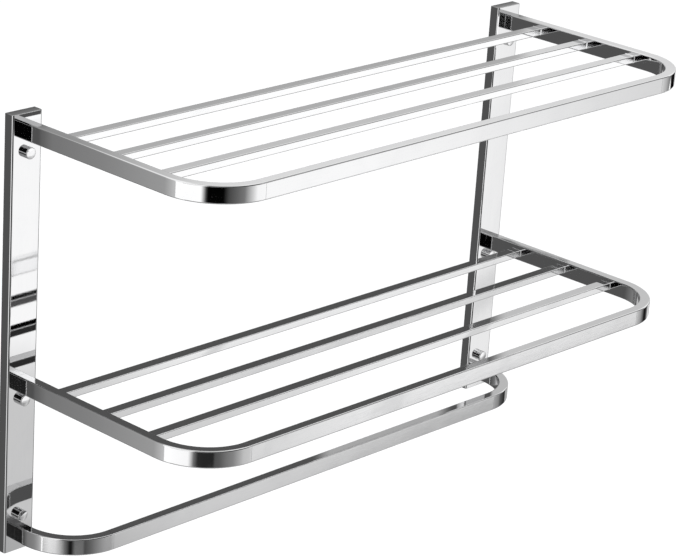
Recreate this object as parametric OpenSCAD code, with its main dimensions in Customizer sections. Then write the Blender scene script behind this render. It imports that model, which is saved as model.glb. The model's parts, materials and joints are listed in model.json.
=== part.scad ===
// Wall-mounted double towel shelf with a towel rail below it, in polished rectangular tube.
// X runs along the rack, -Y points away from the wall and +Z is up. The origin lies on the wall
// plane, at the centre of the four outer wall-screw holes.

/* [Overall] */
// Outside width of the three tube frames
frame_w = 600; // [400:10:800]
// Distance from the wall to the front of both shelves
shelf_d = 232; // [222:1:300]
// Distance from the wall to the front of the towel rail
rail_d = 75; // [75:1:120]
// Distance from the upper shelf's top down to the middle shelf's top
shelf_pitch = 220; // [150:1:300]
// Distance from the middle shelf's top down to the towel rail's top
rail_drop = 137; // [90:1:200]

/* [Wall plates] */
// Width of a wall plate
plate_w = 31; // [28:1:45]
// Thickness of a wall plate
plate_t = 10; // [8:0.5:12]
// Rounding of a plate's two front edges
plate_edge_r = 1.8; // [0.8:0.2:3]
// Length of plate above the upper shelf
top_margin = 7; // [4:1:12]
// Length of plate below the towel rail
bottom_margin = 9; // [4:1:12]

/* [Frame tube] */
// Width of the frame tube, seen from above
tube_w = 9.5; // [8:0.5:14]
// Height of the frame tube
tube_h = 15; // [12:0.5:18]
// Wall thickness of the frame tube
tube_wall = 1; // [0.8:0.1:1.2]
// Outer rounding of the frame tube's edges
tube_edge_r = 1.2; // [0.8:0.1:1.6]
// Outside radius of the bent front corners
bend_r = 55; // [40:1:58]

/* [Shelf bars] */
// Width of a shelf bar, seen from above
bar_w = 10.5; // [8:0.5:14]
// Height of a shelf bar
bar_h = 6.6; // [5:0.2:9]
// Wall thickness of a shelf bar
bar_wall = 0.8; // [0.6:0.1:1]
// Outer rounding of a shelf bar's edges
bar_edge_r = 0.9; // [0.6:0.1:1.2]
// Distance from the wall to the middle of the back bar
first_bar = 49; // [40:1:55]
// Distance from one shelf bar's middle to the next
bar_pitch = 55; // [45:1:60]

/* [Wall fixing] */
// Diameter of a wall-screw hole
wall_hole_d = 5.5; // [4.5:0.5:6.5]
// Distance from a plate's end to its nearest wall-screw hole
screw_end = 33; // [30:1:40]
// Distance from the middle shelf's underside down to the middle wall-screw hole
mid_screw_drop = 7; // [6:1:20]
// Outside diameter of a screw cap
cap_d = 10; // [10:0.5:12]
// Length that a screw cap stands out of the plate
cap_l = 5.5; // [5.5:0.5:14]

/* [Hidden] */

$fn = 48;
plate_h = top_margin + shelf_pitch + rail_drop + tube_h + bottom_margin;
plate_x = frame_w / 2 - tube_w / 2;

// Heights of the three frames' middles, from the origin at half the plate's height
upper_z = plate_h / 2 - top_margin - tube_h / 2;
middle_z = upper_z - shelf_pitch;
lower_z = middle_z - rail_drop;
frame_heights = [upper_z, middle_z, lower_z];

// Heights of the three wall-screw holes in each plate
outer_screw_z = plate_h / 2 - screw_end;
middle_screw_z = middle_z - tube_h / 2 - mid_screw_drop;
screw_heights = [outer_screw_z, middle_screw_z, -outer_screw_z];

// Distances of the shelf bars' middles from the wall
bar_y = [for (i = [0:2]) first_bar + i * bar_pitch];

// Countersunk M5 screw through the back of the plate into each arm's end
arm_hole_d = 5.5;
arm_screw_d = 4.9;
arm_thread_d = 5;
arm_screw_l = 16;
head_d = 10;
head_h = 2.6;
head_sink = 0.2;
hex_d = 3.4;
hex_depth = 1.6;
insert_l = min(20, rail_d - bend_r - plate_t);

// Threaded ring that the wall screw clamps, and the cap that screws over it
cap_wall = 0.9;
cap_end = 1;
cap_chamfer = 0.5;
base_l = 2;
base_gap = 0.1;
over = 0.01;
through = 1;

// Rectangle with round corners, centred
module round_rect(w, h, r) {
    square([w - 2 * r, h], center = true);
    square([w, h - 2 * r], center = true);
    for (sx = [-1, 1], sy = [-1, 1])
        translate([sx * (w / 2 - r), sy * (h / 2 - r)])
            circle(r);
}

// Section of a hollow rectangular tube, centred
module tube_section(w, h, wall, r) {
    difference() {
        round_rect(w, h, r);
        square([w - 2 * wall, h - 2 * wall], center = true);
    }
}

module frame_section() {
    tube_section(tube_w, tube_h, tube_wall, tube_edge_r);
}

// Puts its children at every arm's end: on each plate, at each frame's height
module at_arm_ends() {
    for (side = [-1, 1], z = frame_heights)
        translate([side * plate_x, 0, z])
            children();
}

// Puts its children at every wall-screw hole
module at_wall_screws() {
    for (side = [-1, 1], z = screw_heights)
        translate([side * plate_x, 0, z])
            children();
}

// Cylinder or cone along Y: from the wall side at y = 0 towards the front
module along_y(length, d_back, d_front) {
    rotate([90, 0, 0])
        cylinder(h = length, d1 = d_back, d2 = d_front);
}

// Flat bar with round front edges, wall-screw holes and countersunk arm-screw holes
module wall_plate(side) {
    color("silver")
        difference() {
            translate([side * plate_x, 0, -plate_h / 2])
                linear_extrude(plate_h) {
                    translate([-plate_w / 2, -plate_t + plate_edge_r])
                        square([plate_w, plate_t - plate_edge_r]);
                    translate([-plate_w / 2 + plate_edge_r, -plate_t])
                        square([plate_w - 2 * plate_edge_r, plate_t]);
                    for (s = [-1, 1])
                        translate([s * (plate_w / 2 - plate_edge_r), -plate_t + plate_edge_r])
                            circle(plate_edge_r);
                }
            at_wall_screws()
                translate([0, through, 0])
                    along_y(plate_t + 2 * through, wall_hole_d, wall_hole_d);
            at_arm_ends() {
                translate([0, through, 0])
                    along_y(plate_t + 2 * through, arm_hole_d, arm_hole_d);
                translate([0, -head_sink, 0])
                    along_y(head_h, head_d, arm_hole_d);
                translate([0, through, 0])
                    along_y(through + head_sink + over, head_d, head_d);
            }
        }
}

// Tube from the plate's face, straight out and then round the front corner; right side
module bent_arm(depth, z) {
    straight = depth - bend_r - plate_t;
    color("silver") {
        translate([plate_x, -plate_t, z])
            rotate([90, 0, 0])
                linear_extrude(straight)
                    frame_section();
        translate([frame_w / 2 - bend_r, -(depth - bend_r), z])
            rotate([0, 0, -90])
                rotate_extrude(angle = 90)
                    translate([bend_r - tube_w / 2, 0])
                        frame_section();
    }
}

module left_arm(depth, z) {
    mirror([1, 0, 0])
        bent_arm(depth, z);
}

// Straight tube along X between two section ends, with its middle at the given place
module straight_tube(length, y, z) {
    translate([-length / 2, -y, z])
        rotate([90, 0, 90])
            linear_extrude(length)
                children();
}

// Front tube between the two bent corners
module front_rail(depth, z) {
    color("gainsboro")
        straight_tube(frame_w - 2 * bend_r, depth - tube_w / 2, z)
            frame_section();
}

// Bar between the arms' inner faces, at half the arms' height
module shelf_bar(index, z) {
    color("whitesmoke")
        straight_tube(frame_w - 2 * tube_w, bar_y[index], z)
            tube_section(bar_w, bar_h, bar_wall, bar_edge_r);
}

// Threaded block fixed inside each arm's end
module arm_end_inserts() {
    color("dimgray")
        at_arm_ends()
            difference() {
                translate([0, -plate_t - insert_l / 2, 0])
                    cube([tube_w - 2 * tube_wall, insert_l, tube_h - 2 * tube_wall], center = true);
                translate([0, -plate_t + through, 0])
                    along_y(insert_l + 2 * through, arm_thread_d, arm_thread_d);
            }
}

// Countersunk socket screws from the plate's back into the inserts
module arm_fixing_screws() {
    color("darkgray")
        at_arm_ends()
            translate([0, -head_sink, 0])
                difference() {
                    union() {
                        along_y(head_h, head_d, arm_hole_d);
                        along_y(arm_screw_l, arm_screw_d, arm_screw_d);
                    }
                    translate([0, through, 0])
                        rotate([90, 0, 0])
                            cylinder(h = hex_depth + through, d = hex_d, $fn = 6);
                }
}

// Threaded rings under the caps, one round each wall-screw hole
module cap_bases() {
    ring_d = cap_d - 2 * cap_wall - 2 * base_gap;
    color("darkgray")
        at_wall_screws()
            translate([0, -plate_t, 0])
                difference() {
                    along_y(base_l, ring_d, ring_d);
                    translate([0, through, 0])
                        along_y(base_l + 2 * through, wall_hole_d, wall_hole_d);
                }
}

// Round hollow caps that hide the wall screws' heads
module screw_caps() {
    bore_d = cap_d - 2 * cap_wall;
    bore_l = cap_l - cap_end;
    color("silver")
        at_wall_screws()
            translate([0, -plate_t, 0])
                difference() {
                    union() {
                        along_y(cap_l - cap_chamfer, cap_d, cap_d);
                        translate([0, -(cap_l - cap_chamfer), 0])
                            along_y(cap_chamfer, cap_d, cap_d - 2 * cap_chamfer);
                    }
                    translate([0, through, 0])
                        along_y(bore_l + through, bore_d, bore_d);
                }
}

wall_plate(-1);  // left_wall_plate
wall_plate(1);  // right_wall_plate
left_arm(shelf_d, upper_z);  // upper_left_arm
bent_arm(shelf_d, upper_z);  // upper_right_arm
front_rail(shelf_d, upper_z);  // upper_front_rail
shelf_bar(0, upper_z);  // upper_back_bar
shelf_bar(1, upper_z);  // upper_centre_bar
shelf_bar(2, upper_z);  // upper_fore_bar
left_arm(shelf_d, middle_z);  // middle_left_arm
bent_arm(shelf_d, middle_z);  // middle_right_arm
front_rail(shelf_d, middle_z);  // middle_front_rail
shelf_bar(0, middle_z);  // middle_back_bar
shelf_bar(1, middle_z);  // middle_centre_bar
shelf_bar(2, middle_z);  // middle_fore_bar
left_arm(rail_d, lower_z);  // towel_rail_left_arm
bent_arm(rail_d, lower_z);  // towel_rail_right_arm
front_rail(rail_d, lower_z);  // towel_rail_tube
arm_end_inserts();
arm_fixing_screws();
cap_bases();
screw_caps();
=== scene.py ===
import json
import math

import bmesh
import bpy
from mathutils import Matrix, Vector


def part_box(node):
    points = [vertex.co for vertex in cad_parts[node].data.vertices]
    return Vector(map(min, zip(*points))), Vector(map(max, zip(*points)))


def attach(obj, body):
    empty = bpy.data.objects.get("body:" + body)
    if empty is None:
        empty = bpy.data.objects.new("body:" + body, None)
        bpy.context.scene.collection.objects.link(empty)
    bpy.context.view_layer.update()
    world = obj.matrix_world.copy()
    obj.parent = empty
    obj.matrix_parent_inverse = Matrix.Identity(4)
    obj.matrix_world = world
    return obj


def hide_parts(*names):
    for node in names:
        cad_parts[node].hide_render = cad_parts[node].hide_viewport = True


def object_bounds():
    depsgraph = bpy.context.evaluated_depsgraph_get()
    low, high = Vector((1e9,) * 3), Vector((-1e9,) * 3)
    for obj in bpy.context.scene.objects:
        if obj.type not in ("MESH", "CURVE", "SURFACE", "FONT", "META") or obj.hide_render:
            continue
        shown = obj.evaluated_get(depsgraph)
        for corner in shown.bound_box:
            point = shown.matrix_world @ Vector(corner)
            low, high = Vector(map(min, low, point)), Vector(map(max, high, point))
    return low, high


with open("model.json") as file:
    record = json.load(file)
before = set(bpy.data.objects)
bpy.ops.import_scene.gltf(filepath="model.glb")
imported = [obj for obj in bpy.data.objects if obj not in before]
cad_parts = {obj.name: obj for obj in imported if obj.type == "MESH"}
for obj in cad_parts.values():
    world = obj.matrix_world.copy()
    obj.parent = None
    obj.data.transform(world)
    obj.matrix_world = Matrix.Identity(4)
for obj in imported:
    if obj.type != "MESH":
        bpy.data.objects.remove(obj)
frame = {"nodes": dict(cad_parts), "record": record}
NODES = frame["nodes"]
cad_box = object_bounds()
scene = bpy.context.scene
MM = 0.001
X, Y, Z = Vector((1, 0, 0)), Vector((0, 1, 0)), Vector((0, 0, 1))
LEVELS = ("upper", "middle", "towel_rail")
SIDES = ("left", "right")


# ---------------------------------------------------------------- mesh helpers


def new_piece(name, mesh, replaced, material):
    """Links a finished mesh as a piece that stands for a CAD node and rides on the one body."""
    obj = bpy.data.objects.new(name, mesh)
    scene.collection.objects.link(obj)
    mesh.materials.append(material)
    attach(obj, "root")
    if replaced:
        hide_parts(replaced)


def rounded_section(width, height, radius, steps):
    """Outline of a rectangle with round corners: (u, v, normal u, normal v) for each point."""
    points = []
    for cu, cv, start in ((1, 1, 0), (-1, 1, 90), (-1, -1, 180), (1, -1, 270)):
        for i in range(steps + 1):
            a = math.radians(start + 90 * i / steps)
            nu, nv = math.cos(a), math.sin(a)
            u = cu * (width / 2 - radius) + radius * nu
            v = cv * (height / 2 - radius) + radius * nv
            points.append((u, v, nu, nv))
    return points


def loft(name, rings):
    """Closed mesh through rings of (position, normal) pairs, keeping exactly those normals.

    Two rings in the same place make a crease: the bands on its two sides keep their own normals.
    """
    count = len(rings[0])
    verts = [p for ring in rings for p, normal in ring]
    faces, normals = [], []

    def face(ids, facing):
        ids, facing = list(ids), list(facing)
        turned = sum(
            (verts[a].cross(verts[b]) for a, b in zip(ids, ids[1:] + ids[:1])), Vector()
        )
        if turned.dot(sum(facing, Vector())) < 0:
            ids.reverse()
            facing.reverse()
        faces.append(ids)
        normals.extend(facing)

    for k in range(len(rings) - 1):
        near, far = rings[k], rings[k + 1]
        if all((near[i][0] - far[i][0]).length < 1e-9 for i in range(count)):
            continue
        for i in range(count):
            j = (i + 1) % count
            face(
                (k * count + i, k * count + j, (k + 1) * count + j, (k + 1) * count + i),
                (near[i][1], near[j][1], far[j][1], far[i][1]),
            )
    middles = [sum((p for p, normal in ring), Vector()) / count for ring in rings]
    for k, inner in ((0, 1), (-1, -2)):
        ring = [p for p, normal in rings[k]]
        flat = (ring[0] - ring[count // 2]).cross(ring[count // 4] - ring[3 * count // 4])
        flat.normalize()
        while (middles[k] - middles[inner]).length < 1e-7:
            inner += 1 if inner > 0 else -1
        if flat.dot(middles[k] - middles[inner]) < 0:
            flat = -flat
        start = (k % len(rings)) * count
        face(range(start, start + count), [flat] * count)
    mesh = bpy.data.meshes.new(name)
    mesh.from_pydata([tuple(v) for v in verts], [], faces)
    mesh.shade_smooth()
    mesh.normals_split_custom_set([tuple(n) for n in normals])
    return mesh


def tube_ring(place, across, up, along, section, inset=0.0, tilt=0.0):
    """One ring of a tube: the section at place, drawn in by inset, with normals tilted along it."""
    ring = []
    for u, v, nu, nv in section:
        radial = across * nu + up * nv
        point = place + across * (u - nu * inset) + up * (v - nv * inset)
        ring.append((point, (radial * math.cos(tilt) + along * math.sin(tilt)).normalized()))
    return ring


def chamfered_end(station, section, chamfer, into):
    """Three rings from an end's face to the full section; into is 1 at the start, -1 at the end."""
    place, across, up, along = station
    inner = place + along * chamfer * into
    tilt = -into * math.pi / 4
    return [
        tube_ring(place, across, up, along, section, chamfer, tilt),
        tube_ring(inner, across, up, along, section, 0, tilt),
        tube_ring(inner, across, up, along, section),
    ]


def tube(name, stations, section, chamfer):
    """Tube through stations of (place, across, up, along), with a small chamfer at both ends."""
    rings = chamfered_end(stations[0], section, chamfer, 1)
    rings += [tube_ring(*station, section) for station in stations[1:-1]]
    rings += reversed(chamfered_end(stations[-1], section, chamfer, -1))
    return loft(name, rings)


# ---------------------------------------------------------------- materials


class Nodes:
    """Short names for building a node tree."""

    def __init__(self, tree):
        self.tree = tree
        self.tree.nodes.clear()

    def add(self, kind, **values):
        """New node of a kind, with values for its inputs."""
        node = self.tree.nodes.new(kind)
        for key, value in values.items():
            node.inputs[key].default_value = value
        return node

    def link(self, a, b):
        self.tree.links.new(a, b)

    def math(self, operation, a, b=None):
        node = self.tree.nodes.new("ShaderNodeMath")
        node.operation = operation
        for k, value in enumerate((a, b)):
            if value is None:
                continue
            if isinstance(value, (int, float)):
                node.inputs[k].default_value = value
            else:
                self.link(value, node.inputs[k])
        return node.outputs[0]

    def ramp(self, fac, stops):
        """Colour by fac, through stops of (position, grey or colour)."""
        node = self.tree.nodes.new("ShaderNodeValToRGB")
        ramp = node.color_ramp
        while len(ramp.elements) < len(stops):
            ramp.elements.new(0.5)
        for element, (pos, value) in zip(ramp.elements, stops):
            element.position = pos
            rgb = value if isinstance(value, tuple) else (value, value, value)
            element.color = (*rgb, 1)
        self.link(fac, node.inputs["Fac"])
        return node.outputs["Color"]

    def map_range(self, value, a, b, c, d, smooth=False):
        """Value from a to b as c to d, held at the ends."""
        node = self.tree.nodes.new("ShaderNodeMapRange")
        node.interpolation_type = "SMOOTHSTEP" if smooth else "LINEAR"
        node.clamp = True
        self.link(value, node.inputs["Value"])
        for key, number in (("From Min", a), ("From Max", b), ("To Min", c), ("To Max", d)):
            node.inputs[key].default_value = number
        return node.outputs["Result"]

    def grey(self, value):
        node = self.tree.nodes.new("ShaderNodeRGB")
        node.outputs[0].default_value = (value, value, value, 1)
        return node.outputs[0]

    def mix(self, fac, a, b):
        """Colour a where fac is 0, b where it is 1."""
        node = self.tree.nodes.new("ShaderNodeMix")
        node.data_type = "RGBA"
        self.link(fac, node.inputs["Factor"])
        self.link(a, node.inputs[6])
        self.link(b, node.inputs[7])
        return node.outputs[2]

    def inside(self, value, a, b, soft):
        """1 between a and b, falling softly to 0 outside them."""
        return self.math(
            "MULTIPLY",
            self.map_range(value, a - soft, a + soft, 0.0, 1.0, True),
            self.map_range(value, b - soft, b + soft, 1.0, 0.0, True),
        )

    def noise(self, vector, scale, detail=2.0, roughness=0.5, distortion=0.0):
        node = self.tree.nodes.new("ShaderNodeTexNoise")
        self.link(vector, node.inputs["Vector"])
        node.inputs["Scale"].default_value = scale
        node.inputs["Detail"].default_value = detail
        node.inputs["Roughness"].default_value = roughness
        node.inputs["Distortion"].default_value = distortion
        return node.outputs["Fac"]

    def stretched(self, vector, scale):
        node = self.tree.nodes.new("ShaderNodeMapping")
        node.inputs["Scale"].default_value = scale
        self.link(vector, node.inputs["Vector"])
        return node.outputs["Vector"]


CHROME_IOR = 2.6


def polished_metal(
    name, grain, light, dark, rough=(0.035, 0.09), lines=0.012, wave=0.02, plain_back=False
):
    """Polished chromed steel: faint buffing lines along grain, soft smears, slow waviness.

    With plain_back, faces turned to the wall are left unpolished, as rolled and ground.
    """
    material = bpy.data.materials.new(name)
    material.use_nodes = True
    n = Nodes(material.node_tree)
    place = n.add("ShaderNodeTexCoord").outputs["Object"]
    buffed = n.noise(n.stretched(place, grain), 1.0, 3.0, 0.6)
    smear = n.noise(place, 16.0, 4.0, 0.55, 0.6)
    fleck = n.noise(place, 900.0, 2.0, 0.5)
    slow = n.noise(place, 11.0, 1.0, 0.4)
    smears = n.map_range(smear, 0.45, 0.75, 0.0, 1.0, True)
    shader = n.add("ShaderNodeBsdfPrincipled")
    shader.inputs["Metallic"].default_value = 1.0
    shader.inputs["IOR"].default_value = CHROME_IOR
    tone = n.math("ADD", n.math("MULTIPLY", buffed, 0.35), n.math("MULTIPLY", smear, 0.65))
    colour = n.ramp(tone, [(0.25, dark), (0.5, light), (0.8, dark)])
    rough_value = n.math(
        "ADD",
        n.math("MULTIPLY", smears, rough[1] - rough[0]),
        n.math("ADD", n.math("MULTIPLY", buffed, 0.02), rough[0] - 0.01),
    )
    rough_value = n.math("ADD", rough_value, n.math("MULTIPLY", fleck, 0.008))
    if plain_back:
        facing = n.add("ShaderNodeSeparateXYZ")
        n.link(n.add("ShaderNodeTexCoord").outputs["Normal"], facing.inputs[0])
        back = n.map_range(facing.outputs[1], 0.8, 0.95, 0.0, 1.0)
        mill = n.noise(n.stretched(place, (1400.0, 1400.0, 22.0)), 1.0, 4.0, 0.65)
        ground = n.math("ADD", n.math("MULTIPLY", mill, 0.75), n.math("MULTIPLY", smear, 0.25))
        plain = n.ramp(ground, [(0.3, (0.3, 0.3, 0.31)), (0.7, (0.6, 0.6, 0.61))])
        colour = n.mix(back, colour, plain)
        n.link(n.math("SUBTRACT", 1.0, n.math("MULTIPLY", back, 0.55)), shader.inputs["Metallic"])
        worn = n.math("ADD", n.math("MULTIPLY", mill, 0.25), 0.3)
        rough_value = n.math("MAXIMUM", rough_value, n.math("MULTIPLY", back, worn))
    n.link(colour, shader.inputs["Base Color"])
    n.link(rough_value, shader.inputs["Roughness"])
    bump_slow = n.add("ShaderNodeBump", Strength=wave, Distance=0.004)
    n.link(slow, bump_slow.inputs["Height"])
    bump = n.add("ShaderNodeBump", Strength=lines, Distance=0.0004)
    n.link(buffed, bump.inputs["Height"])
    n.link(bump_slow.outputs["Normal"], bump.inputs["Normal"])
    n.link(bump.outputs["Normal"], shader.inputs["Normal"])
    out = n.add("ShaderNodeOutputMaterial")
    n.link(shader.outputs["BSDF"], out.inputs["Surface"])
    return material


def machined_metal(name, light, dark, rings, rough):
    """Plain machined metal: turning marks and a mottled tone."""
    material = bpy.data.materials.new(name)
    material.use_nodes = True
    n = Nodes(material.node_tree)
    place = n.add("ShaderNodeTexCoord").outputs["Object"]
    marks = n.noise(n.stretched(place, rings), 1.0, 3.0, 0.6)
    mottle = n.noise(place, 220.0, 4.0, 0.6)
    shader = n.add("ShaderNodeBsdfPrincipled")
    shader.inputs["Metallic"].default_value = 1.0
    n.link(n.ramp(mottle, [(0.3, dark), (0.7, light)]), shader.inputs["Base Color"])
    n.link(n.math("ADD", n.math("MULTIPLY", marks, 0.16), rough), shader.inputs["Roughness"])
    bump = n.add("ShaderNodeBump", Strength=0.25, Distance=0.0003)
    n.link(marks, bump.inputs["Height"])
    n.link(bump.outputs["Normal"], shader.inputs["Normal"])
    out = n.add("ShaderNodeOutputMaterial")
    n.link(shader.outputs["BSDF"], out.inputs["Surface"])
    return material


LIGHT = (0.925, 0.925, 0.93)
DARK = (0.865, 0.868, 0.88)
# Buffing lines: noise drawn out along one axis
FINE, LONG = 2600.0, 30.0
along_x = (LONG, FINE, FINE)
along_y = (FINE, LONG, FINE)
along_z = (FINE, FINE, LONG)
chrome_plate = polished_metal(
    "polished_plate", along_z, LIGHT, DARK, rough=(0.02, 0.06), plain_back=True
)
chrome_frame = polished_metal("polished_frame", along_y, LIGHT, DARK)
chrome_rail = polished_metal("polished_rail", along_x, LIGHT, DARK)
chrome_bar = polished_metal("polished_bar", along_x, LIGHT, DARK, rough=(0.025, 0.07), wave=0.008)
chrome_cap = polished_metal("polished_cap", along_y, LIGHT, DARK, rough=(0.03, 0.07), wave=0.0)
brass = machined_metal("brass_ring", (0.75, 0.58, 0.28), (0.5, 0.36, 0.15), (60, 3000, 60), 0.22)
steel = machined_metal("plain_screw", (0.6, 0.6, 0.61), (0.42, 0.42, 0.43), (900, 60, 900), 0.24)
insert = machined_metal("plain_insert", (0.5, 0.5, 0.5), (0.34, 0.34, 0.35), (60, 2400, 60), 0.3)


# ---------------------------------------------------------------- frame tubes

rail_lo, rail_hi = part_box("upper_front_rail")
TUBE_W = rail_hi.y - rail_lo.y
TUBE_H = rail_hi.z - rail_lo.z
EDGE_R = 1.2 * MM
EDGE_STEPS = 6
BEND_STEPS = 40
SEAM = 0.1 * MM
frame_section = rounded_section(TUBE_W, TUBE_H, EDGE_R, EDGE_STEPS)


def arm(node):
    """Arm from the plate's face, straight out and round the front corner, up to the rail's seam."""
    lo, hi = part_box(node)
    side = 1 if hi.x > 0 else -1
    bend_r = hi.x - lo.x
    mid_r = bend_r - TUBE_W / 2
    outer = max(abs(lo.x), abs(hi.x))
    z = (lo.z + hi.z) / 2
    centre = Vector((side * (outer - bend_r), lo.y + bend_r, z))
    stations = [(Vector((side * (outer - TUBE_W / 2), hi.y, z)), side * X, Z, -Y)]
    for i in range(BEND_STEPS + 1):
        a = math.radians(90 * i / BEND_STEPS)
        across = side * X * math.cos(a) - Y * math.sin(a)
        along = -side * X * math.sin(a) - Y * math.cos(a)
        stations.append((centre + across * mid_r, across, Z, along))
    place, across, up, along = stations.pop()
    # the last two stations stand apart, so that the end's chamfer fits between them
    stations.append((place - along * SEAM * 2, across, up, along))
    stations.append((place, across, up, along))
    return tube(f"{node}_mesh", stations, frame_section, SEAM)


def straight(node):
    """Straight tube along X with chamfered ends, from the node's box."""
    lo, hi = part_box(node)
    mid = (lo + hi) / 2
    ends = [Vector((x, mid.y, mid.z)) for x in (lo.x, hi.x)]
    return tube(f"{node}_mesh", [(p, Y, -Z, X) for p in ends], frame_section, SEAM)


for level in LEVELS:
    for side in SIDES:
        node = f"{level}_{side}_arm"
        new_piece(f"{node}_polished", arm(node), node, chrome_frame)
for node in ("upper_front_rail", "middle_front_rail", "towel_rail_tube"):
    new_piece(f"{node}_polished", straight(node), node, chrome_rail)


# ---------------------------------------------------------------- shelf bars

BAR_EDGE_R = 0.9 * MM
WELD_R = 0.7 * MM
WELD_STEPS = 5


def bar(node):
    """Flat bar along X, with a small polished weld fillet where it meets each arm."""
    lo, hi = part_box(node)
    mid = (lo + hi) / 2
    section = rounded_section(hi.y - lo.y, hi.z - lo.z, BAR_EDGE_R, EDGE_STEPS)
    rings = []
    for end, along in ((lo.x, X), (hi.x, -X)):
        fillet = []
        for i in range(WELD_STEPS + 1):
            a = math.radians(90 * i / WELD_STEPS)
            reach = WELD_R * (1 - math.cos(a))
            swell = WELD_R * (1 - math.sin(a))
            place = Vector((end, mid.y, mid.z)) + along * reach
            fillet.append(tube_ring(place, Y, -Z, along, section, -swell, math.pi / 2 - a))
        rings += fillet if along.x > 0 else fillet[::-1]
    return loft(f"{node}_mesh", rings)


for level in LEVELS[:2]:
    for place in ("back", "centre", "fore"):
        node = f"{level}_{place}_bar"
        new_piece(f"{node}_polished", bar(node), node, chrome_bar)


# ---------------------------------------------------------------- wall plates

mounts = {m["name"]: m for m in frame["record"]["mounts"]}
outer = mounts["wall_screws"]
half_z = outer["dims"]["spacing_y_mm"] / 2 * MM
PLATE_X = outer["dims"]["spacing_x_mm"] / 2 * MM
SCREW_Z = [half_z, mounts["wall_screws_middle"]["pos_m"][2], -half_z]
HOLE_D = 2 * outer["dims"]["hole_r_mm"] * MM
SINK_D = 10.3 * MM
SINK_DEPTH = 2.8 * MM
FRONT_EDGE_R = 1.8 * MM
SOFT_EDGE = 0.45 * MM


def cylinder_cutter(name, place, d_back, d_front, y_back, y_front):
    """Cone or cylinder along Y used to cut a plate."""
    mesh = bpy.data.meshes.new(name)
    bm = bmesh.new()
    count = 64
    back, front = [], []
    for i in range(count):
        a = 2 * math.pi * i / count
        c, s = math.cos(a), math.sin(a)
        back.append(bm.verts.new((place.x + c * d_back / 2, y_back, place.z + s * d_back / 2)))
        front.append(bm.verts.new((place.x + c * d_front / 2, y_front, place.z + s * d_front / 2)))
    for i in range(count):
        j = (i + 1) % count
        bm.faces.new((back[i], back[j], front[j], front[i]))
    bm.faces.new(back[::-1])
    bm.faces.new(front)
    bmesh.ops.recalc_face_normals(bm, faces=bm.faces)
    bm.to_mesh(mesh)
    bm.free()
    obj = bpy.data.objects.new(name, mesh)
    scene.collection.objects.link(obj)
    return obj


def apply_modifiers(obj):
    """Replaces the object's mesh by the result of its modifiers."""
    graph = bpy.context.evaluated_depsgraph_get()
    mesh = bpy.data.meshes.new_from_object(obj.evaluated_get(graph))
    obj.modifiers.clear()
    obj.data = mesh
    return mesh


def wall_plate(node):
    """Flat bar with rounded front edges, softened ends and the holes seen from behind."""
    lo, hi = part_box(node)
    mid = (lo + hi) / 2
    bm = bmesh.new()
    bmesh.ops.create_cube(bm, size=1.0)
    bmesh.ops.scale(bm, vec=hi - lo, verts=bm.verts)
    bmesh.ops.translate(bm, vec=mid, verts=bm.verts)
    upright = [e for e in bm.edges if e.verts[0].co.z * e.verts[1].co.z < 0]
    front = [e for e in upright if e.verts[0].co.y < mid.y]
    bmesh.ops.bevel(bm, geom=front, offset=FRONT_EDGE_R, segments=8, profile=0.5, affect="EDGES")
    sharp = [e for e in bm.edges if len(e.link_faces) == 2 and e.calc_face_angle(0) > 0.8]
    bmesh.ops.bevel(bm, geom=sharp, offset=SOFT_EDGE, segments=3, profile=0.5, affect="EDGES")
    mesh = bpy.data.meshes.new(f"{node}_mesh")
    bm.to_mesh(mesh)
    bm.free()
    obj = bpy.data.objects.new(f"{node}_work", mesh)
    scene.collection.objects.link(obj)
    cutters = []
    heights = [sum(corner.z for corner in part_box(f"{level}_left_arm")) / 2 for level in LEVELS]
    for k, z in enumerate(heights):
        spot = Vector((mid.x, 0, z))
        cutters.append(cylinder_cutter(f"sink{k}", spot, SINK_D, HOLE_D, 0.2 * MM, -SINK_DEPTH))
    for k, z in enumerate(SCREW_Z):
        spot = Vector((mid.x, 0, z))
        cutters.append(cylinder_cutter(f"hole{k}", spot, HOLE_D, HOLE_D, MM, lo.y - MM))
    for cutter in cutters:
        cut = obj.modifiers.new(cutter.name, "BOOLEAN")
        cut.operation = "DIFFERENCE"
        cut.solver = "EXACT"
        cut.object = cutter
    mesh = apply_modifiers(obj)
    for cutter in cutters:
        bpy.data.objects.remove(cutter)
    mesh.shade_smooth()
    mesh.set_sharp_from_angle(angle=math.radians(38))
    weights = obj.modifiers.new("weights", "WEIGHTED_NORMAL")
    weights.keep_sharp = True
    weights.weight = 100
    mesh = apply_modifiers(obj)
    bpy.data.objects.remove(obj)
    mesh.name = f"{node}_mesh"
    return mesh


for side in SIDES:
    node = f"{side}_wall_plate"
    new_piece(f"{node}_polished", wall_plate(node), node, chrome_plate)


# ---------------------------------------------------------------- screw caps

caps_lo, caps_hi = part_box("screw_caps")
CAP_L = caps_hi.y - caps_lo.y
CAP_R = (caps_hi.x - caps_lo.x) / 2 - PLATE_X


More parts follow.
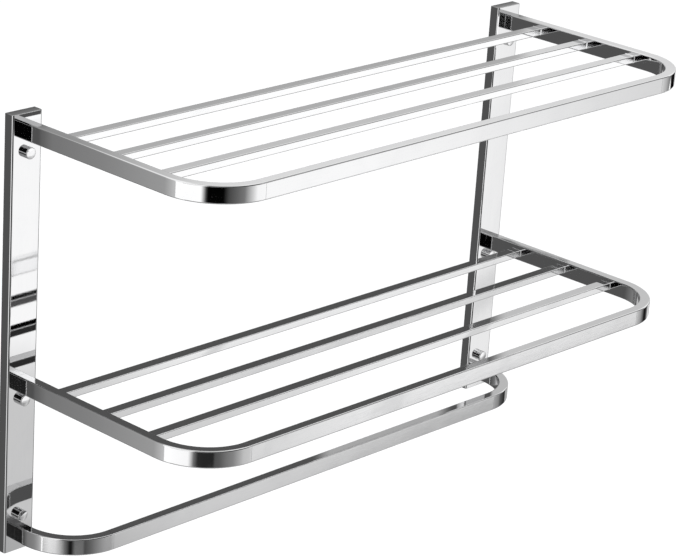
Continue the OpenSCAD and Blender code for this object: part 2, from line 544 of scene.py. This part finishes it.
def screw_cap(x, z):
    """Turned cap: a straight side with a fine groove at its foot, a round rim and a domed face."""
    rim = 0.7 * MM
    dome = 0.22 * MM
    groove_depth = 0.25 * MM
    groove_end, side_start = 0.35 * MM, 0.6 * MM
    # (radius, reach from the plate, outward part of the normal, forward part of the normal)
    profile = [
        (CAP_R - groove_depth, 0.0, 1, 0),
        (CAP_R - groove_depth, groove_end, 1, 0),
        (CAP_R - groove_depth, groove_end, 0.7, -0.7),
        (CAP_R, side_start, 0.7, -0.7),
        (CAP_R, side_start, 1, 0),
    ]
    steps = 8
    for i in range(steps + 1):
        a = math.radians(90 * i / steps)
        reach = CAP_L - dome - rim + rim * math.sin(a)
        profile.append((CAP_R - rim + rim * math.cos(a), reach, math.cos(a), math.sin(a)))
    flat = CAP_R - rim
    for i in range(steps):
        part = 1 - i / steps
        tilt = 2 * dome / flat * part
        profile.append((flat * part, CAP_L - dome * part**2, math.sin(tilt), math.cos(tilt)))
    profile.append((0.05 * MM, CAP_L, 0, 1))
    rings = []
    count = 96
    for radius, reach, n_out, n_front in profile:
        ring = []
        for i in range(count):
            a = 2 * math.pi * i / count
            out = Vector((math.cos(a), 0, math.sin(a)))
            point = Vector((x, caps_hi.y - reach, z)) + out * radius
            ring.append((point, (out * n_out - Y * n_front).normalized()))
        rings.append(ring)
    return loft("cap_mesh", rings)


replaced = "screw_caps"
for side, x in zip(SIDES, (-PLATE_X, PLATE_X)):
    for place, z in zip(("top", "middle", "bottom"), SCREW_Z):
        name = f"screw_cap_{side}_{place}_polished"
        new_piece(name, screw_cap(x, z), replaced, chrome_cap)
        # only the first cap names the node that all six stand for
        replaced = None

hidden = {"cap_bases": brass, "arm_fixing_screws": steel, "arm_end_inserts": insert}
for node, material in hidden.items():
    NODES[node].data.materials.clear()
    NODES[node].data.materials.append(material)


# ---------------------------------------------------------------- studio


def srgb(value):
    """Linear radiance whose picture value is value of 255."""
    c = value / 255
    return c / 12.92 if c <= 0.04045 else ((c + 0.055) / 1.055) ** 2.4


MIRROR = 0.9


def seen(value):
    """Radiance that a polished face shows as value of 255."""
    return srgb(value) / MIRROR


# What the metal reflects of the room below its own height: (direction round the rack in degrees,
# tone of 255). 0 is straight out from the wall, positive towards the left. Three belts of the
# room, from the one that the upper shelf mirrors down to the one that the towel rail mirrors.
BELTS = [
    [
        (-180, 130), (-150, 250), (-136, 250), (-126, 150), (-117, 90), (-109, 16), (-103, 3),
        (-95, 8), (-88, 36), (-84, 102), (-76, 138), (-68, 173), (-58, 196), (-54, 209),
        (-51, 232), (-48, 246), (-28, 243), (-20, 207), (-4, 117), (8, 96), (22, 70), (27, 42),
        (31, 3), (57, 3), (60, 67), (64, 180), (68, 254), (106, 254), (113, 192), (119, 78),
        (140, 78), (180, 130),
    ],
    [
        (-180, 130), (-150, 250), (-108, 250), (-100, 178), (-92, 68), (-86, 20), (-80, 24),
        (-72, 119), (-67, 155), (-56, 188), (-53, 228), (-48, 233), (-46, 214), (-43, 197),
        (-28, 187), (-20, 163), (-8, 129), (4, 113), (16, 86), (24, 75), (27, 34), (53, 40),
        (60, 107), (64, 187), (69, 245), (106, 254), (113, 192), (119, 78), (140, 78),
        (180, 130),
    ],
    [
        (-180, 130), (-150, 250), (-110, 120), (-96, 65), (-90, 40), (-80, 69), (-72, 90),
        (-67, 130), (-54, 155), (-51, 167), (-48, 182), (-46, 200), (-42, 173), (-36, 150),
        (-22, 148), (-8, 126), (4, 94), (16, 69), (20, 108), (33, 114), (40, 18), (44, 25),
        (52, 110), (60, 177), (70, 208), (80, 216), (88, 197), (96, 162), (113, 150), (119, 78),
        (140, 78), (180, 130),
    ],
]
# The far room near eye level, which the metal shows only to a camera lower than the photo's.
HORIZON = [
    (-180, 120), (-150, 205), (-120, 130), (-96, 60), (-84, 105), (-60, 190), (-30, 150),
    (0, 105), (30, 150), (60, 195), (84, 110), (96, 62), (120, 120), (150, 205), (180, 120),
]
# What it reflects above its own height, by the same directions: in a narrow belt 19 to 22
# degrees up, and in the rest.
SKY = [
    [
        (-180, 240), (-150, 160), (-120, 165), (-100, 240), (-76, 240), (-70, 60), (-56, 60),
        (-53, 82), (-47, 82), (-44, 243), (-37, 243), (-34, 20), (0, 8), (56, 10), (64, 240),
        (180, 240),
    ],
    [
        (-180, 240), (-150, 160), (-120, 165), (-100, 240), (-76, 240), (-70, 60), (-56, 60),
        (-52, 168), (-44, 180), (-38, 180), (-34, 20), (0, 8), (56, 10), (64, 240), (180, 240),
    ],
]


def around(degrees):
    """A direction round the rack as 0 to 1: from behind, past the right, the front and the left."""
    return (degrees + 180) / 360


def raised(degrees):
    """An elevation as 0 (straight down) to 1 (straight up)."""
    return math.sin(math.radians(degrees)) * 0.5 + 0.5


def studio_world():
    """Room that only the metal mirrors, and plain white light for everything else."""
    world = bpy.data.worlds.new("studio")
    scene.world = world
    world.use_nodes = True
    n = Nodes(world.node_tree)
    direction = n.add("ShaderNodeTexCoord").outputs["Generated"]
    split = n.add("ShaderNodeSeparateXYZ")
    n.link(direction, split.inputs[0])
    x, y, z = split.outputs
    turn = n.math("ARCTAN2", n.math("MULTIPLY", x, -1.0), n.math("MULTIPLY", y, -1.0))
    turn = n.math("ADD", n.math("MULTIPLY", turn, 0.5 / math.pi), 0.5)
    rise = n.math("ADD", n.math("MULTIPLY", z, 0.5), 0.5)

    def by_turn(stops):
        return n.ramp(turn, [(around(a), seen(v)) for a, v in stops])

    def fade(value, a, b):
        return n.map_range(value, a, b, 0.0, 1.0, True)

    # how far down the mirrored room lies: slope times the distance between camera and metal,
    # which is shorter on the left
    flat = n.math("SQRT", n.math("ADD", n.math("MULTIPLY", x, x), n.math("MULTIPLY", y, y)))
    slope = n.math("DIVIDE", n.math("MULTIPLY", z, -1.0), n.math("MAXIMUM", flat, 0.01))
    depth = n.math("MULTIPLY", slope, n.map_range(turn, around(-54), around(-44), 2.5, 2.0))
    upper, middle, towel = [by_turn(belt) for belt in BELTS]
    low = n.mix(fade(depth, 0.79, 0.86), upper, middle)
    low = n.mix(fade(depth, 0.95, 0.972), low, towel)
    # a duller line in it, which the middle shelf's centre bar mirrors
    duller = n.math(
        "MULTIPLY",
        n.inside(depth, 0.849, 0.881, 0.006),
        n.inside(turn, around(-53.5), around(-42.3), 0.001),
    )
    low = n.mix(duller, low, n.grey(seen(204)))
    low = n.mix(fade(depth, 0.42, 0.5), by_turn(HORIZON), low)
    belt, rest = [by_turn(sky) for sky in SKY]
    high = n.mix(n.inside(rise, raised(19.2), raised(21.7), 0.003), rest, belt)
    zenith = n.mix(fade(rise, raised(62), raised(78)), n.grey(0.95), n.grey(seen(158)))
    colour = n.mix(fade(rise, raised(-48), raised(-34)), n.grey(seen(150)), low)
    colour = n.mix(fade(rise, raised(-6), raised(2)), colour, high)
    colour = n.mix(fade(rise, raised(42), raised(58)), colour, zenith)
    mirrored = n.add("ShaderNodeBackground")
    n.link(colour, mirrored.inputs["Color"])
    plain = n.add("ShaderNodeBackground")
    plain.inputs["Color"].default_value = (0.99, 0.993, 1.0, 1)
    plain.inputs["Strength"].default_value = 1.12
    path = n.add("ShaderNodeLightPath")
    pick = n.add("ShaderNodeMixShader")
    n.link(path.outputs["Is Glossy Ray"], pick.inputs["Fac"])
    n.link(plain.outputs[0], pick.inputs[1])
    n.link(mirrored.outputs[0], pick.inputs[2])
    out = n.add("ShaderNodeOutputWorld")
    n.link(pick.outputs[0], out.inputs["Surface"])


studio_world()


def stage_plane(name, corners, material):
    """Rectangle through four corners that belongs to the stage and not to the rack."""
    mesh = bpy.data.meshes.new(name)
    mesh.from_pydata(corners, [], [(0, 1, 2, 3)])
    obj = bpy.data.objects.new(name, mesh)
    scene.collection.objects.link(obj)
    mesh.materials.append(material)
    return obj


def glossy_only(obj):
    """A card that only polished metal sees."""
    obj.visible_camera = False
    obj.visible_diffuse = False
    obj.visible_shadow = False
    obj.visible_transmission = False


def card_material(name):
    """New material for a card, its node helper and the place on the card as x, y and z."""
    material = bpy.data.materials.new(name)
    material.use_nodes = True
    n = Nodes(material.node_tree)
    place = n.add("ShaderNodeTexCoord").outputs["Object"]
    split = n.add("ShaderNodeSeparateXYZ")
    n.link(place, split.inputs[0])
    return material, n, split.outputs


def finish_card(n, colour, cover=None):
    """Emission of colour; where cover is 0 the card lets the room behind it through."""
    shader = n.add("ShaderNodeEmission")
    n.link(colour, shader.inputs["Color"])
    if cover is not None:
        clear = n.add("ShaderNodeBsdfTransparent")
        mix = n.add("ShaderNodeMixShader")
        n.link(cover, mix.inputs["Fac"])
        n.link(clear.outputs[0], mix.inputs[1])
        n.link(shader.outputs[0], mix.inputs[2])
        shader = mix
    out = n.add("ShaderNodeOutputMaterial")
    n.link(shader.outputs[0], out.inputs["Surface"])


def wall_card():
    """Soft board behind the rack, seen only in the metal: dark between the plates, light around."""
    material, n, (x, _, z) = card_material("wall_card")
    top = cad_box[1].z
    west, east, tall = -1.6, 0.95, 0.6
    left_end = -0.3
    reach_down, reach_up = 400, 200
    across = n.map_range(x, west, left_end, 0.0, 1.0)
    height = n.map_range(z, top - reach_down * MM, top + reach_up * MM, 0.0, 1.0)

    def by_x(stops):
        """Tone by (millimetres from the middle, tone)."""
        return n.ramp(across, [((mm * MM - west) / (left_end - west), seen(v)) for mm, v in stops])

    def at_height(mm):
        return (mm + reach_down) / (reach_down + reach_up)

    def by_height(stops):
        """Tone by (millimetres above the plates' tops, tone)."""
        return n.ramp(height, [(at_height(mm), seen(v)) for mm, v in stops])

    def patch(x_from, x_to, x_soft, z_from, z_to, z_soft):
        """1 in a rectangle, its heights from the plates' tops."""
        wide = n.inside(x, x_from, x_to, x_soft)
        high = n.inside(z, top + z_from, top + z_to, z_soft)
        return n.math("MULTIPLY", wide, high)

    # Between the plates it's dark below their tops, and lighter above them, with shade on the
    # left. A darker patch is what the backs of the middle shelf's bars see, as the left plate
    # mirrors them.
    dark = n.mix(patch(-0.26, -0.015, 0.01, -0.3, -0.25, 0.006), n.grey(seen(78)), n.grey(seen(42)))
    upper = by_height(
        [(0, 165), (42, 171), (50, 184), (68, 190), (90, 208), (100, 213), (200, 235)]
    )
    shaded = by_height(
        [(0, 136), (20, 141), (37, 152), (53, 168), (76, 186), (100, 213), (200, 235)]
    )
    slanted = n.math("SUBTRACT", x, n.math("MULTIPLY", n.math("SUBTRACT", z, top), 2.0))
    upper = n.mix(n.map_range(slanted, -0.28, -0.262, 1.0, 0.0, True), upper, shaded)
    colour = n.mix(n.map_range(z, top - 0.001, top + 0.012, 0.0, 1.0, True), dark, upper)

    # It's light on the right of an edge, (millimetres above the plates' tops, x), which the right
    # arms' tops mirror.
    on_right = by_height([(-400, 165), (-330, 180), (-150, 188), (-20, 192), (10, 207), (200, 218)])
    edge_stops = [
        (-400, 0.34), (-240, 0.34), (-220, 0.32), (-212, 0.3245), (-204, 0.346), (-198, 0.3575),
        (-193, 0.3665), (-168, 0.4245), (-165, 0.433), (-158, 0.448), (-148, 0.335), (-80, 0.344),
        (200, 0.344),
    ]
    edge = n.ramp(height, [(at_height(mm), edge_x) for mm, edge_x in edge_stops])
    softness = n.map_range(z, top - 0.158, top - 0.148, 0.003, 0.018)
    past = n.math("DIVIDE", n.math("SUBTRACT", x, edge), softness)
    colour = n.mix(n.map_range(past, -1.0, 1.0, 0.0, 1.0, True), colour, on_right)

    # It's light on the left, up to a little above the plates' tops, for the left arms' sides.
    on_left = by_x(
        [
            (-1600, 254), (-766, 254), (-750, 183), (-680, 183), (-550, 165), (-470, 149),
            (-430, 138), (-400, 128), (-370, 122), (-345, 115), (-334, 92),
        ]
    )
    low = n.map_range(z, top + 0.05, top + 0.12, 1.0, 0.0, True)
    west_side = n.map_range(x, -0.334, -0.33, 1.0, 0.0, True)
    colour = n.mix(n.math("MULTIPLY", low, west_side), colour, on_left)

    # Two openings low on the right let the lit room behind show.
    opening = patch(0.094, 0.268, 0.014, -0.352, -0.3, 0.006)
    rail_gap = patch(0.055, 0.115, 0.01, -0.372, -0.33, 0.006)
    hole = n.math("MAXIMUM", opening, rail_gap)
    finish_card(n, colour, n.math("SUBTRACT", 1.0, hole))
    gap_to_wall = 0.006
    y = cad_box[1].y + gap_to_wall
    corners = [(west, y, -tall), (east, y, -tall), (east, y, tall), (west, y, tall)]
    glossy_only(stage_plane("wall_card", corners, material))


def plain_card(name, value, y, corners):
    """Card of one tone, parallel to the wall; corners are (x, height above the upper bars)."""
    material, n, _ = card_material(name)
    finish_card(n, n.grey(seen(value)))
    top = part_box("upper_fore_bar")[1].z
    glossy_only(stage_plane(name, [(x, y, top + z) for x, z in corners], material))


def front_cards():
    """Cards in front of the rack that the metal mirrors.

    Two white ones make the upper bars' front faces white. The slanted gap between them keeps the
    bars' images in the right arm dark, and a third one farther out fills it for the bars.
    """
    front = cad_box[0].y
    near = front - 0.013
    white, grey, black = 252, 208, 2
    plain_card(
        "bar_card_left", white, near,
        [(-0.13, -0.093), (-0.008, -0.093), (0.166, -0.033), (-0.235, -0.033)],
    )
    plain_card(
        "bar_card_right", white, near,
        [(0.034, -0.093), (0.55, -0.093), (0.382, -0.033), (0.208, -0.033)],
    )
    plain_card(
        "bar_card_gap", white, front - 0.128,
        [(0.0894, -0.143), (0.1434, -0.143), (0.3524, -0.087), (0.2984, -0.087)],
    )
    # the middle bars' right ends
    plain_card(
        "middle_bar_ends", grey, near,
        [(0.045, -0.338), (0.066, -0.338), (0.229, -0.267), (0.199, -0.267)],
    )
    # a flag for the middle shelf's tops, as the left plate mirrors them
    plain_card(
        "flag_tops", black, -0.6, [(0.02, -0.013), (0.42, -0.013), (0.42, 0.065), (0.02, 0.065)]
    )


front_cards()
wall_card()


def floor():
    """Pale floor well below the rack, left out of the metal's reflections."""
    material = bpy.data.materials.new("pale_floor")
    material.use_nodes = True
    n = Nodes(material.node_tree)
    place = n.add("ShaderNodeTexCoord").outputs["Object"]
    cloud = n.noise(place, 1.3, 3.0, 0.5)
    shader = n.add("ShaderNodeBsdfPrincipled")
    n.link(n.ramp(cloud, [(0.3, 0.93), (0.7, 0.95)]), shader.inputs["Base Color"])
    shader.inputs["Roughness"].default_value = 0.9
    shader.inputs["Specular IOR Level"].default_value = 0.1
    out = n.add("ShaderNodeOutputMaterial")
    n.link(shader.outputs["BSDF"], out.inputs["Surface"])
    z = cad_box[0].z - 0.55
    half = 30.0
    plane = stage_plane(
        "floor", [(-half, -half, z), (half, -half, z), (half, half, z), (-half, half, z)], material
    )
    plane.visible_glossy = False


floor()

lamp = bpy.data.lights.new("softbox", "AREA")
lamp.shape = "RECTANGLE"
lamp.size, lamp.size_y = 2.6, 2.2
lamp.energy = 6.0
softbox = bpy.data.objects.new("softbox", lamp)
softbox.location = (-0.6, -1.4, 2.6)
softbox.rotation_mode = "QUATERNION"
softbox.rotation_quaternion = Vector(softbox.location).to_track_quat("Z", "Y")
softbox.visible_glossy = False
softbox.visible_camera = False
scene.collection.objects.link(softbox)


# ---------------------------------------------------------------- camera

camera_data = bpy.data.cameras.new("camera")
camera = bpy.data.objects.new("camera", camera_data)
scene.collection.objects.link(camera)
scene.camera = camera
# Fitted to the photo: the direction from the rack to the camera, turned from straight in front
# and raised, and the camera's roll, place, lens and shift.
turn, rise, roll = (math.radians(a) for a in (-46.15, 22.1, 3.4))
back = Vector((math.sin(turn) * math.cos(rise), -math.cos(turn) * math.cos(rise), math.sin(rise)))
sideways = Vector((math.cos(turn), math.sin(turn), 0))
up = back.cross(sideways)
right = sideways * math.cos(roll) + up * math.sin(roll)
top = up * math.cos(roll) - sideways * math.sin(roll)
place = Matrix.Translation((-1.6844, -1.6398, 0.8590))
camera.matrix_world = place @ Matrix((right, top, back)).transposed().to_4x4()
camera_data.lens = 147.5
camera_data.sensor_width = 36.0
camera_data.shift_x = 0.0876
camera_data.shift_y = 0.12
camera_data.clip_start, camera_data.clip_end = 0.1, 60.0

scene.view_settings.view_transform = "Standard"
scene.view_settings.look = "None"

bpy.context.view_layer.update()
